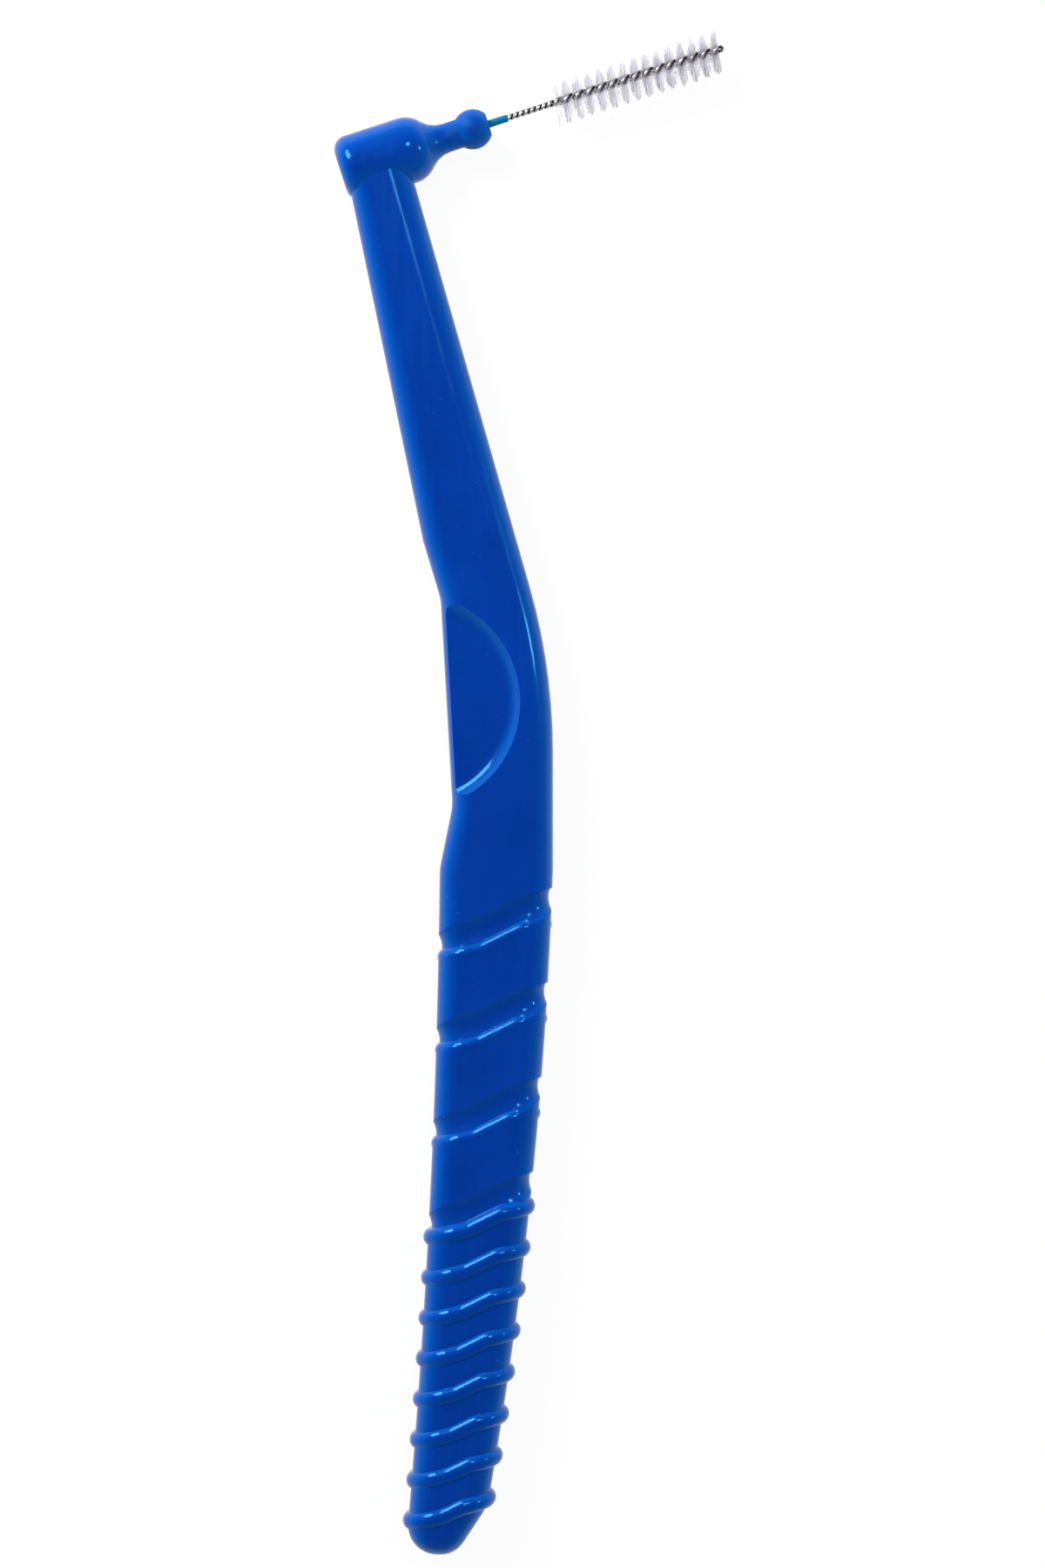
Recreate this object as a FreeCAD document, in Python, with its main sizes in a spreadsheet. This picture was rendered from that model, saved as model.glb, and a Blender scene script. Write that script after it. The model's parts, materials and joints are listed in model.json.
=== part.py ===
"""Angled interdental brush: a moulded handle, a sleeved twisted wire and rows of nylon filaments.

Drawing frame, in millimetres: X to the right, Y from the heel towards the head, Z out of the front.
X is 0 on the middle of the grip's top, Y is 0 at the heel and Z is 0 in the middle of the thickness.
At the end every piece is moved so that the origin is below the middle of the whole brush on its back.
"""

import FreeCAD, Part
import Sketcher
import math
import os
from FreeCAD import Placement, Rotation, Vector

SIZES = [
    # Handle as a whole
    ("handle_thickness", 5.2, "front flat to back flat"),
    ("rim_radius", 2.0, "rounding along both sides of the handle"),
    # Grip, from the heel to the thumb rest
    ("grip_length", 60.5, "heel to the top of the grip"),
    ("grip_width", 10.0, "across the top of the grip"),
    ("grip_left_radius", 765, "hollow sweep of the left side"),
    ("grip_right_radius", 400, "full sweep of the right side"),
    ("heel_swing", 3.05, "heel's left corner, left of the grip's top"),
    ("heel_floor", 4.45, "flat end of the heel"),
    ("heel_width", 7.3, "heel's left corner to its right corner"),
    ("heel_rise", 4.3, "height of the heel's slanted corner"),
    ("heel_corner_radius", 2.6, "left corner of the heel"),
    ("heel_tip_radius", 2.4, "right end of the heel's floor"),
    ("heel_side_radius", 5.0, "top of the heel's slanted corner"),
    # Thumb rest and bend
    ("waist_length", 17.7, "top of the grip to the bend on the right side"),
    ("bend_radius", 53.0, "right side between waist and neck"),
    ("notch_foot_rise", 5.5, "height of the notch's lower ramp"),
    ("notch_foot_inset", 1.12, "notch's lower corner, in from the grip's left side"),
    ("notch_length", 18.2, "straight side of the notch"),
    ("notch_head_inset", 0.08, "notch's upper corner, in from the grip's left side"),
    ("notch_head_rise", 5.1, "height of the notch's upper ramp"),
    ("notch_top_outset", 1.46, "top of the upper ramp, out from the grip's left side"),
    ("notch_radius", 5.0, "corners of the notch"),
    ("recess_radius", 9.5, "thumb recess at the flat of the handle"),
    ("recess_outset", 2.4, "centre of the recess, out from the grip's left side"),
    ("recess_depth", 0.8, "floor of the recess below the flat"),
    ("recess_wall", 0.8, "width of the recess's sloping wall"),
    ("recess_fillet", 1.2, "rounding between wall and floor of the recess"),
    # Ribs and grooves of the grip
    ("ridge_slope", 26.5, "degrees, steep part of each rib and groove"),
    ("ridge_rim_slope", 14.0, "degrees, gentle part, over the rims and at the left of the flats"),
    ("ridge_ease", 1.8, "bend between the two slopes"),
    ("ridge_rim_radius", 2.4, "rounding of their run over the rims, wider than the rims are"),
    ("rib_first", 4.0, "middle of the lowest rib above the heel"),
    ("rib_pitch", 3.62, "rib to rib"),
    ("rib_radius", 0.85, "round of a rib"),
    ("rib_height", 0.36, "rib above the grip"),
    ("groove_first", 30.9, "middle of the lowest groove above the heel"),
    ("groove_pitch", 8.27, "groove to groove"),
    ("groove_width", 2.6, "brim to brim of a groove"),
    ("groove_depth", 0.4, "groove below the grip"),
    ("groove_outset", 0.15, "how much shallower a groove is at the sides of the grip"),
    ("lip_drop", 1.6, "middle of a groove to the lip below it"),
    ("lip_height", 0.06, "lip above the grip"),
    # Neck and head
    ("neck_reach", 10.65, "neck's end, left of the middle of the grip's top"),
    ("neck_end_width", 5.5, "neck where it enters the head"),
    ("head_height", 122.95, "neck's end above the heel"),
    ("head_back", 3.27, "neck's end to the back of the head"),
    ("head_radius", 2.95, "head at the neck"),
    ("head_back_radius", 1.3, "rounding at the back of the head"),
    ("head_shoulder", 2.9, "neck's end to the start of the taper"),
    ("throat_start", 6.6, "neck's end to the end of the taper"),
    ("throat_radius", 1.28, "throat between taper and collar"),
    ("collar_middle", 9.0, "neck's end to the middle of the ball collar"),
    ("collar_radius", 1.77, "ball collar"),
    ("collar_front", 10.45, "neck's end to the flat front of the collar"),
    # Wire and sleeve, measured from the flat front of the collar
    ("root_depth", 5.6, "wire and sleeve inside the head"),
    ("sleeve_free", 1.75, "sleeve outside the collar"),
    ("sleeve_wall", 0.04, "sleeve at its root"),
    ("sleeve_taper", 0.02, "sleeve thinner at its free end, each side"),
    ("mould_gap", 0.01, "play around wire and sleeve"),
    ("stem_free", 6.25, "wire outside the collar up to the filaments"),
    ("strand_diameter", 0.28, "drawn steel wire"),
    ("strand_gap", 0.01, "between the strands of the stem"),
    ("stem_pitch", 1.06, "one turn of the stem's twist"),
    ("core_pitch", 2.15, "one turn of the twist among the filaments"),
    # Filaments
    ("filament_diameter", 0.08, "nylon filament"),
    ("filament_length", 3.9, "tip to tip across the wire"),
    ("filament_gap", 0.005, "filament to its neighbours and the strands"),
    # Making
    ("overrun", 0.6, "reach of cutting solids past what they cut"),
    ("head_tilt", 18.0, "degrees, wire above the handle's cross direction"),
]

RIB_COUNT = 8
GROOVE_COUNT = 4
ROW_COUNT = 14
FILAMENTS_IN_ROW = 12
RIDGE_LEAD_SHARE = 0.26

FRONT = Vector(0, 0, 1)
HALF_TURN = 180
FULL_TURN = 360

doc = FreeCAD.newDocument("interdental_brush")


# Sizes sheet

def make_sheet():
    sheet = doc.addObject("Spreadsheet::Sheet", "Sizes")
    for row, (alias, number, meaning) in enumerate(SIZES, start=1):
        sheet.set(f"A{row}", meaning)
        sheet.set(f"B{row}", str(number))
        sheet.setAlias(f"B{row}", alias)
    doc.recompute()
    return sheet


sheet = make_sheet()


def size(alias):
    return float(sheet.get(alias))


def bind(item, path, expression):
    """Ties one property to the sheet; words in the expression that are sizes get the sheet's name."""
    words = expression.replace("(", "( ").replace(")", " )").split()
    names = {alias for alias, _, _ in SIZES}
    item.setExpression(path, " ".join(f"Sizes.{word}" if word in names else word for word in words))


# Drawing helpers

def origin_plane(body, role):
    return next(plane for plane in body.Origin.OriginFeatures if plane.Role == role)


def new_sketch(body, role, name):
    sketch = body.newObject("Sketcher::SketchObject", name)
    sketch.AttachmentSupport = [(origin_plane(body, role), "")]
    sketch.MapMode = "FlatFace"
    return sketch


def arc_between(start, end, radius):
    """Arc from start to end that bulges to the right of that direction."""
    chord = end - start
    across = Vector(chord.y, -chord.x, 0).normalize()
    sag = radius - math.sqrt(radius**2 - (chord.Length / 2) ** 2)
    return Part.Arc(start, (start + end) / 2 + across * sag, end)


class Outline:
    """A closed sketch outline whose corners are dimensioned with sizes of the sheet."""

    def __init__(self, sketch, corners):
        self.sketch = sketch
        self.corners = corners
        self.ends = {name: [] for name in corners}

    def side(self, start, end, curve=None):
        a, b = self.corners[start], self.corners[end]
        number = self.sketch.addGeometry(curve or Part.LineSegment(a, b))
        first, second = sorted((1, 2), key=lambda end: (self.sketch.getPoint(number, end) - a).Length)
        self.ends[start].append((number, first))
        self.ends[end].append((number, second))
        return number

    def close(self, smooth=()):
        for name, (first, second) in self.ends.items():
            self.rule("Tangent" if name in smooth else "Coincident", *first, *second)

    def at(self, name):
        return (-1, 1) if name == "origin" else self.ends[name][0]

    def rule(self, kind, *items):
        self.sketch.addConstraint(Sketcher.Constraint(kind, *items))

    def measure(self, kind, items, expression, number):
        place = self.sketch.addConstraint(Sketcher.Constraint(kind, *items, number))
        bind(self.sketch, f"Constraints[{place}]", expression)

    def across(self, start, end, alias):
        self.measure("DistanceX", (*self.at(start), *self.at(end)), alias, size(alias))

    def along(self, start, end, alias):
        self.measure("DistanceY", (*self.at(start), *self.at(end)), alias, size(alias))

    def radius(self, number, alias):
        self.measure("Radius", (number,), alias, size(alias))


def feature(body, kind, name):
    item = body.newObject(kind, name)
    body.Tip = item
    return item


def subtract(name, base, tool):
    item = doc.addObject("Part::Cut", name)
    item.Base = base
    item.Tool = tool
    return item


def fillet(body, base, name, edge_numbers, alias):
    item = feature(body, "PartDesign::Fillet", name)
    item.Base = (base, [f"Edge{number + 1}" for number in edge_numbers])
    bind(item, "Radius", alias)
    doc.recompute()
    return item


# Handle: outline, rounded sides, thumb recess and head

half_thickness = size("handle_thickness") / 2
left = -size("grip_width") / 2
neck_end = Vector(-size("neck_reach"), size("head_height"), 0)
head_turn = Rotation(FRONT, size("head_tilt"))
head_axis = head_turn.multVec(Vector(1, 0, 0))
notch_foot_y = size("grip_length") + size("notch_foot_rise")
notch_head_y = notch_foot_y + size("notch_length")
heel_x = left - size("heel_swing")

handle_corners = {
    "heel_back": Vector(heel_x, 0),
    "heel_tip": Vector(heel_x + size("heel_floor"), 0),
    "heel_side": Vector(heel_x + size("heel_width"), size("heel_rise")),
    "grip_right": Vector(-left, size("grip_length")),
    "bend": Vector(-left, size("grip_length") + size("waist_length")),
    "neck_right": neck_end + head_axis * (size("neck_end_width") / 2),
    "neck_left": neck_end - head_axis * (size("neck_end_width") / 2),
    "notch_top": Vector(left - size("notch_top_outset"), notch_head_y + size("notch_head_rise")),
    "notch_head": Vector(left + size("notch_head_inset"), notch_head_y),
    "notch_foot": Vector(left + size("notch_foot_inset"), notch_foot_y),
    "grip_left": Vector(left, size("grip_length")),
}
corner_radii = {
    "heel_back": "heel_corner_radius",
    "heel_tip": "heel_tip_radius",
    "heel_side": "heel_side_radius",
    "bend": "bend_radius",
    "notch_head": "notch_radius",
    "notch_foot": "notch_radius",
    "grip_left": "notch_radius",
}

def grip_side(start, end, alias):
    return arc_between(handle_corners[start], handle_corners[end], size(alias))


left_sweep = grip_side("heel_back", "grip_left", "grip_left_radius")
right_sweep = grip_side("heel_side", "grip_right", "grip_right_radius")


def draw_handle_outline(body):
    sketch = new_sketch(body, "XY_Plane", "handle_outline")
    outline = Outline(sketch, handle_corners)
    outline.side("heel_back", "heel_tip")
    outline.side("heel_tip", "heel_side")
    right_side = outline.side("heel_side", "grip_right", right_sweep)
    outline.side("grip_right", "bend")
    outline.side("bend", "neck_right")
    neck_line = outline.side("neck_right", "neck_left")
    outline.side("neck_left", "notch_top")
    outline.side("notch_top", "notch_head")
    outline.side("notch_head", "notch_foot")
    outline.side("notch_foot", "grip_left")
    left_side = outline.side("heel_back", "grip_left", left_sweep)
    outline.close()
    middle = sketch.addGeometry(Part.Point(neck_end), True)
    outline.ends["neck_end"] = [(middle, 1)]
    outline.rule("PointOnObject", *outline.at("heel_back"), -1)
    outline.rule("PointOnObject", *outline.at("heel_tip"), -1)
    outline.rule("Symmetric", *outline.at("grip_left"), *outline.at("grip_right"), -2)
    outline.rule("Vertical", *outline.at("grip_right"), *outline.at("bend"))
    outline.rule("Symmetric", *outline.at("neck_left"), *outline.at("neck_right"), middle, 1)
    outline.across("grip_left", "grip_right", "grip_width")
    outline.along("origin", "grip_right", "grip_length")
    outline.across("heel_back", "grip_left", "heel_swing")
    outline.across("heel_back", "heel_tip", "heel_floor")
    outline.across("heel_back", "heel_side", "heel_width")
    outline.along("heel_back", "heel_side", "heel_rise")
    outline.along("grip_right", "bend", "waist_length")
    outline.along("grip_left", "notch_foot", "notch_foot_rise")
    outline.across("grip_left", "notch_foot", "notch_foot_inset")
    outline.along("notch_foot", "notch_head", "notch_length")
    outline.across("grip_left", "notch_head", "notch_head_inset")
    outline.along("notch_head", "notch_top", "notch_head_rise")
    outline.across("notch_top", "grip_left", "notch_top_outset")
    outline.across("neck_end", "origin", "neck_reach")
    outline.along("origin", "neck_end", "head_height")
    outline.measure("Distance", (*outline.at("neck_left"), *outline.at("neck_right")), "neck_end_width",
                    size("neck_end_width"))
    outline.measure("Angle", (-1, 1, *outline.ends["neck_left"][0]), "head_tilt * 1 deg",
                    math.radians(size("head_tilt")))
    outline.radius(left_side, "grip_left_radius")
    outline.radius(right_side, "grip_right_radius")
    return sketch


def is_upright(edge):
    return edge.BoundBox.ZLength > half_thickness


def flat_distance(point, place):
    return math.hypot(point.x - place.x, point.y - place.y)


def round_corners(body, base):
    """Rounds the upright edge at each corner of the outline."""
    for corner, alias in corner_radii.items():
        edges = base.Shape.Edges
        upright = [number for number, edge in enumerate(edges) if is_upright(edge)]
        nearest = min(upright, key=lambda n: flat_distance(edges[n].CenterOfMass, handle_corners[corner]))
        base = fillet(body, base, f"round_{corner}", [nearest], alias)
    return base


def round_rim(body, base):
    """Rounds the front and back rims, but not across the neck's end, which lies inside the head."""
    edges = base.Shape.Edges
    flat = [number for number, edge in enumerate(edges) if not is_upright(edge)]
    flat.sort(key=lambda n: flat_distance(edges[n].CenterOfMass, neck_end))
    return fillet(body, base, "round_rim", flat[2:], "rim_radius")


def cut_recess(body):
    """Turns the shallow thumb recess into the front, and mirrors it to the back."""
    middle = Vector(left - size("recess_outset"), (notch_foot_y + notch_head_y) / 2)
    floor = half_thickness - size("recess_depth")
    brim = size("recess_radius")
    foot = brim - size("recess_wall")
    slope = size("recess_depth") / size("recess_wall")
    top = half_thickness + size("overrun")
    sketch = new_sketch(body, "XZ_Plane", "recess_profile")
    bind(sketch, "AttachmentOffset.Base.x", "- grip_width / 2 - recess_outset")
    bind(sketch, "AttachmentOffset.Base.z", "- grip_length - notch_foot_rise - notch_length / 2")
    turn = math.atan(slope)
    run = size("recess_fillet") * math.tan(turn / 2)
    start = Vector(foot - run, floor)
    end = Vector(foot + run * math.cos(turn), floor + run * math.sin(turn))
    corners = {
        "floor_middle": Vector(0, floor),
        "floor_end": start,
        "wall_start": end,
        "wall_top": Vector(brim + size("overrun") / slope, top),
        "top_middle": Vector(0, top),
    }
    outline = Outline(sketch, corners)
    outline.side("floor_middle", "floor_end")
    bow = outline.side("floor_end", "wall_start", arc_between(start, end, size("recess_fillet")))
    wall = outline.side("wall_start", "wall_top")
    outline.side("wall_top", "top_middle")
    outline.side("top_middle", "floor_middle")
    outline.close(smooth=("floor_end", "wall_start"))
    outline.rule("Horizontal", outline.at("floor_end")[0])
    outline.rule("Horizontal", outline.at("top_middle")[0])
    outline.rule("PointOnObject", *outline.at("floor_middle"), -2)
    outline.rule("PointOnObject", *outline.at("top_middle"), -2)
    outline.radius(bow, "recess_fillet")
    for name, words, height in (
        ("floor_middle", "handle_thickness / 2 - recess_depth", floor),
        ("top_middle", "handle_thickness / 2 + overrun", top),
    ):
        outline.measure("DistanceY", (-1, 1, *outline.at(name)), words, height)
    outline.measure("DistanceX", (-1, 1, *outline.at("wall_top")),
                    "recess_radius + overrun * recess_wall / recess_depth", corners["wall_top"].x)
    outline.measure("Angle", (wall,), "atan( recess_depth / recess_wall )", turn)
    groove = feature(body, "PartDesign::Groove", "recess")
    groove.Profile = sketch
    groove.ReferenceAxis = (sketch, ["V_Axis"])
    groove.Angle = FULL_TURN
    doc.recompute()
    mirrored = feature(body, "PartDesign::Mirrored", "recess_on_back")
    mirrored.Originals = [groove]
    mirrored.MirrorPlane = (origin_plane(body, "XY_Plane"), [""])
    doc.recompute()


def add_head(body):
    """Turns the bottle-shaped head with its ball collar about the wire's axis."""
    sketch = new_sketch(body, "XY_Plane", "head_profile")
    bind(sketch, "AttachmentOffset.Base.x", "- neck_reach")
    bind(sketch, "AttachmentOffset.Base.y", "head_height")
    bind(sketch, "AttachmentOffset.Rotation.Angle", "head_tilt")
    back, belly, throat = -size("head_back"), size("head_radius"), size("throat_radius")
    ease = size("head_back_radius")
    ball, middle, front = size("collar_radius"), size("collar_middle"), size("collar_front")
    ball_start = middle - math.sqrt(ball**2 - throat**2)
    front_radius = math.sqrt(ball**2 - (front - middle) ** 2)
    shoulder, waist = Vector(size("head_shoulder"), belly), Vector(size("throat_start"), throat)
    half_way = (shoulder + waist) / 2
    run, drop = (waist.x - shoulder.x) / 2, (shoulder.y - waist.y) / 2
    bow_radius = (run**2 + drop**2) / (2 * drop)
    corners = {
        "back_middle": Vector(back, 0),
        "back_edge": Vector(back, belly - ease),
        "belly_start": Vector(back + ease, belly),
        "shoulder": shoulder,
        "half_way": half_way,
        "waist": waist,
        "ball_start": Vector(ball_start, throat),
        "front_edge": Vector(front, front_radius),
        "front_middle": Vector(front, 0),
    }
    outline = Outline(sketch, corners)
    outline.side("back_middle", "back_edge")
    back_arc = arc_between(corners["belly_start"], corners["back_edge"], ease)
    back_round = outline.side("back_edge", "belly_start", back_arc)
    belly_line = outline.side("belly_start", "shoulder")
    upper = outline.side("shoulder", "half_way", arc_between(half_way, shoulder, bow_radius))
    lower = outline.side("half_way", "waist", arc_between(half_way, waist, bow_radius))
    throat_line = outline.side("waist", "ball_start")
    dome = Part.ArcOfCircle(
        Part.Circle(Vector(middle, 0), FRONT, ball),
        math.atan2(front_radius, front - middle),
        math.atan2(throat, ball_start - middle),
    )
    ball_arc = outline.side("ball_start", "front_edge", dome)
    outline.side("front_edge", "front_middle")
    outline.side("front_middle", "back_middle")
    outline.close(smooth=("back_edge", "belly_start", "shoulder", "half_way", "waist"))
    for name in ("back_middle", "front_middle"):
        outline.rule("PointOnObject", *outline.at(name), -1)
    outline.rule("PointOnObject", ball_arc, 3, -1)
    for line in (belly_line, throat_line):
        outline.rule("Horizontal", line)
    for start, end in (("back_middle", "back_edge"), ("front_edge", "front_middle")):
        outline.rule("Vertical", *outline.at(start), *outline.at(end))
    outline.rule("Equal", upper, lower)
    outline.radius(back_round, "head_back_radius")
    outline.radius(ball_arc, "collar_radius")
    outline.across("back_middle", "origin", "head_back")
    outline.along("origin", "belly_start", "head_radius")
    outline.along("origin", "waist", "throat_radius")
    outline.across("origin", "shoulder", "head_shoulder")
    outline.across("origin", "waist", "throat_start")
    outline.across("origin", "front_middle", "collar_front")
    outline.measure("DistanceX", (-1, 1, ball_arc, 3), "collar_middle", middle)
    head = feature(body, "PartDesign::Revolution", "head")
    head.Profile = sketch
    head.ReferenceAxis = (sketch, ["H_Axis"])
    head.Angle = FULL_TURN
    doc.recompute()


def make_handle_blank():
    body = doc.addObject("PartDesign::Body", "handle_blank")
    outline = draw_handle_outline(body)
    plate = feature(body, "PartDesign::Pad", "plate")
    plate.Profile = outline
    plate.Midplane = True
    bind(plate, "Length", "handle_thickness")
    doc.recompute()
    round_rim(body, round_corners(body, plate))
    cut_recess(body)
    add_head(body)
    return body


# Grip: ribs, lips and grooves that climb from left to right around the handle

def side_x(sweep, y):
    """Where a side of the grip stands at height y."""
    circle = sweep.toShape().Curve
    reach = math.sqrt(circle.Radius**2 - (y - circle.Center.y) ** 2)
    return circle.Center.x + math.copysign(reach, -circle.Center.x)


def climbing(degrees):
    """The direction that climbs to the right at that slope."""
    return Vector(math.cos(math.radians(degrees)), math.sin(math.radians(degrees)), 0)


def flat_run(start, run):
    """Across one flat: a gentle lead, a bend to the steep slope, a straight climb and a bend back."""
    gentle, steep, ease = size("ridge_rim_slope"), size("ridge_slope"), size("ridge_ease")
    foot = start + climbing(gentle) * (run * RIDGE_LEAD_SHARE)
    hub = foot + climbing(gentle + HALF_TURN / 2) * ease
    half_bend = hub - climbing((gentle + steep) / 2 + HALF_TURN / 2) * ease - foot
    bend = hub - climbing(steep + HALF_TURN / 2) * ease - foot
    climb_run = start.x + run - foot.x - 2 * bend.x
    end = foot + bend * 2 + climbing(steep) * (climb_run / math.cos(math.radians(steep)))
    return [
        Part.LineSegment(start, foot),
        Part.Arc(foot, foot + half_bend, foot + bend),
        Part.LineSegment(foot + bend, end - bend),
        Part.Arc(end - bend, end - half_bend, end),
    ]


def ridge_path(y, depth, outset):
    """Closed run around the grip, below its flats by depth, and the middle of its climb on the front."""
    bow, flat = size("ridge_rim_radius") - depth, half_thickness - depth
    guess = math.tan(math.radians(size("ridge_slope"))) * size("grip_width") / 2
    x_left = side_x(left_sweep, y - guess) + depth - outset
    x_right = side_x(right_sweep, y + guess) - depth + outset
    trial = flat_run(Vector(x_left + bow, 0, 0), x_right - x_left - 2 * bow)
    rise = trial[-1].EndPoint.y
    low, high = Vector(x_left + bow, y - rise / 2, 0), Vector(x_right - bow, y + rise / 2, 0)
    outward = climbing(size("ridge_rim_slope")) * (bow / math.cos(math.radians(size("ridge_rim_slope"))))
    front_run = flat_run(low + FRONT * flat, high.x - low.x)
    back_run = flat_run(low - FRONT * flat, high.x - low.x)
    edges = [curve.toShape() for curve in front_run + back_run]
    for side in (FRONT, -FRONT):
        for end, reach in ((low, -outward), (high, outward)):
            hub = end + side * (flat - bow)
            around = Part.Ellipse(hub + reach, hub + side * bow, hub)
            edges.append(Part.ArcOfEllipse(around, 0, math.pi / 2).toShape())
    for end, reach in ((low, -outward), (high, outward)):
        edges.append(Part.makeLine(end + reach + FRONT * (flat - bow), end + reach - FRONT * (flat - bow)))
    climb = front_run[-2]
    return Part.Wire(Part.__sortEdges__(edges)), (climb.StartPoint + climb.EndPoint) / 2


def make_ridge(name, y, depth, outset, profile):
    """Sweeps a profile along the ridge's run; the profile's X points into the grip and its Y up."""
    wire, middle = ridge_path(y, depth, outset)
    path = doc.addObject("Part::Feature", f"{name}_path")
    path.Shape = wire
    ahead = climbing(size("ridge_slope"))
    profile.Placement = Placement(middle, Rotation(-FRONT, FRONT.cross(ahead), ahead, "XYZ"))
    bar = doc.addObject("Part::Sweep", name)
    bar.Sections = [profile]
    bar.Spine = (path, [f"Edge{number + 1}" for number in range(len(wire.Edges))])
    bar.Solid = True
    return bar


def make_rib(name, y, height):
    ring = doc.addObject("Part::Circle", f"{name}_round")
    bind(ring, "Radius", "rib_radius")
    return make_ridge(name, y, size("rib_radius") - height, 0, ring)


def make_ribs():
    heights = [size("rib_first") + size("rib_pitch") * number for number in range(RIB_COUNT)]
    return [make_rib(f"rib_{number + 1}", y, size("rib_height")) for number, y in enumerate(heights)]


def groove_heights():
    return [size("groove_first") + size("groove_pitch") * number for number in range(GROOVE_COUNT)]


def make_lips():
    """The lowest groove has the top rib below it, the others have a lip of their own."""
    heights = [y - size("lip_drop") for y in groove_heights()[1:]]
    return [make_rib(f"lip_{number + 1}", y, size("lip_height")) for number, y in enumerate(heights)]


def make_groove(name, y):
    """A shallow cove, closed by a box outside the grip."""
    half, deep, out = size("groove_width") / 2, size("groove_depth"), -size("overrun")
    sketch = doc.addObject("Sketcher::SketchObject", f"{name}_profile")
    outline = Outline(sketch, {
        "low_brim": Vector(0, -half),
        "high_brim": Vector(0, half),
        "high_out": Vector(out, half),
        "low_out": Vector(out, -half),
    })
    bow = Part.Arc(Vector(0, -half), Vector(deep, 0), Vector(0, half))
    cove = outline.side("low_brim", "high_brim", bow)
    outline.side("high_brim", "high_out")
    outline.side("high_out", "low_out")
    outline.side("low_out", "low_brim")
    outline.close()
    outline.rule("Symmetric", *outline.at("low_brim"), *outline.at("high_brim"), -1, 1)
    outline.rule("Symmetric", *outline.at("low_out"), *outline.at("high_out"), -1)
    outline.rule("PointOnObject", *outline.at("high_brim"), -2)
    outline.rule("Horizontal", *outline.at("high_brim"), *outline.at("high_out"))
    outline.along("low_brim", "high_brim", "groove_width")
    outline.across("high_out", "high_brim", "overrun")
    outline.measure("Radius", (cove,), "groove_width ^ 2 / ( 8 * groove_depth ) + groove_depth / 2",
                    half**2 / (2 * deep) + deep / 2)
    return make_ridge(name, y, 0, size("groove_outset"), sketch)


def make_grooves():
    return [make_groove(f"groove_{number + 1}", y) for number, y in enumerate(groove_heights())]


# Wire, sleeve and filaments stand on their own axis: Z along the wire, 0 at the flat front of the collar

collar_face = neck_end + head_axis * size("collar_front")
wire_place = Placement(collar_face, head_turn.multiply(Rotation(Vector(0, 1, 0), HALF_TURN / 2)))
row_length = size("core_pitch") / 2
core_length = row_length * ROW_COUNT
stem_radius = size("strand_diameter") / 2 + size("strand_gap") / 2
half_gap = size("filament_diameter") + 2 * size("filament_gap")
core_radius = size("strand_diameter") / 2 + half_gap


def make_cylinder(name, radius, height, start):
    """A cylinder along the wire's axis from start; radius and height are given in words for the sheet."""
    item = doc.addObject("Part::Cylinder", name)
    bind(item, "Radius", radius)
    bind(item, "Height", height)
    item.Placement = Placement(FRONT * start, Rotation())
    return item


def make_strand(name, turned, twist):
    """One strand of a left-handed twist, longer than needed at both ends."""
    pitch, radius = twist["pitch"], twist["radius"]
    turn_back = twist["start_turn"] + FULL_TURN * size("overrun") / size(twist["pitch"])
    helix = doc.addObject("Part::Helix", f"{name}_run")
    bind(helix, "Pitch", pitch)
    bind(helix, "Radius", radius)
    bind(helix, "Height", f"{twist['length']} + 2 * overrun")
    helix.LocalCoord = "Left-handed"
    rise = math.atan2(size(pitch), 2 * math.pi * twist["radius_now"])
    ring = doc.addObject("Part::Circle", f"{name}_round")
    bind(ring, "Radius", "strand_diameter / 2")
    tilt = Rotation(Vector(1, 0, 0), math.degrees(math.pi / 2 - rise))
    start = Placement(FRONT * (twist["start"] - size("overrun")), Rotation(FRONT, turn_back + turned))
    helix.Placement = start
    ring.Placement = start.multiply(Placement(Vector(twist["radius_now"], 0, 0), tilt))
    strand = doc.addObject("Part::Sweep", name)
    strand.Sections = [ring]
    strand.Spine = (helix, ["Edge1"])
    strand.Solid = True
    strand.Frenet = True
    return strand


def make_twist(name, twist):
    """Both strands, cut square at the ends of their run; twist gives sizes in words and as numbers."""
    pair = doc.addObject("Part::Compound", f"{name}_strands")
    pair.Links = [
        make_strand(f"{name}_strand_1", 0, twist),
        make_strand(f"{name}_strand_2", HALF_TURN, twist),
    ]
    reach = f"{twist['radius']} + strand_diameter"
    room = make_cylinder(f"{name}_room", reach, twist["length"], twist["start"])
    cut = doc.addObject("Part::Common", name)
    cut.Base = pair
    cut.Tool = room
    return cut


def make_wire_stem():
    return make_twist("wire_stem", {
        "pitch": "stem_pitch",
        "radius": "strand_diameter / 2 + strand_gap / 2",
        "length": "root_depth + stem_free",
        "radius_now": stem_radius,
        "start": -size("root_depth"),
        "start_turn": FULL_TURN * (size("root_depth") + size("stem_free")) / size("stem_pitch"),
    })


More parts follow.
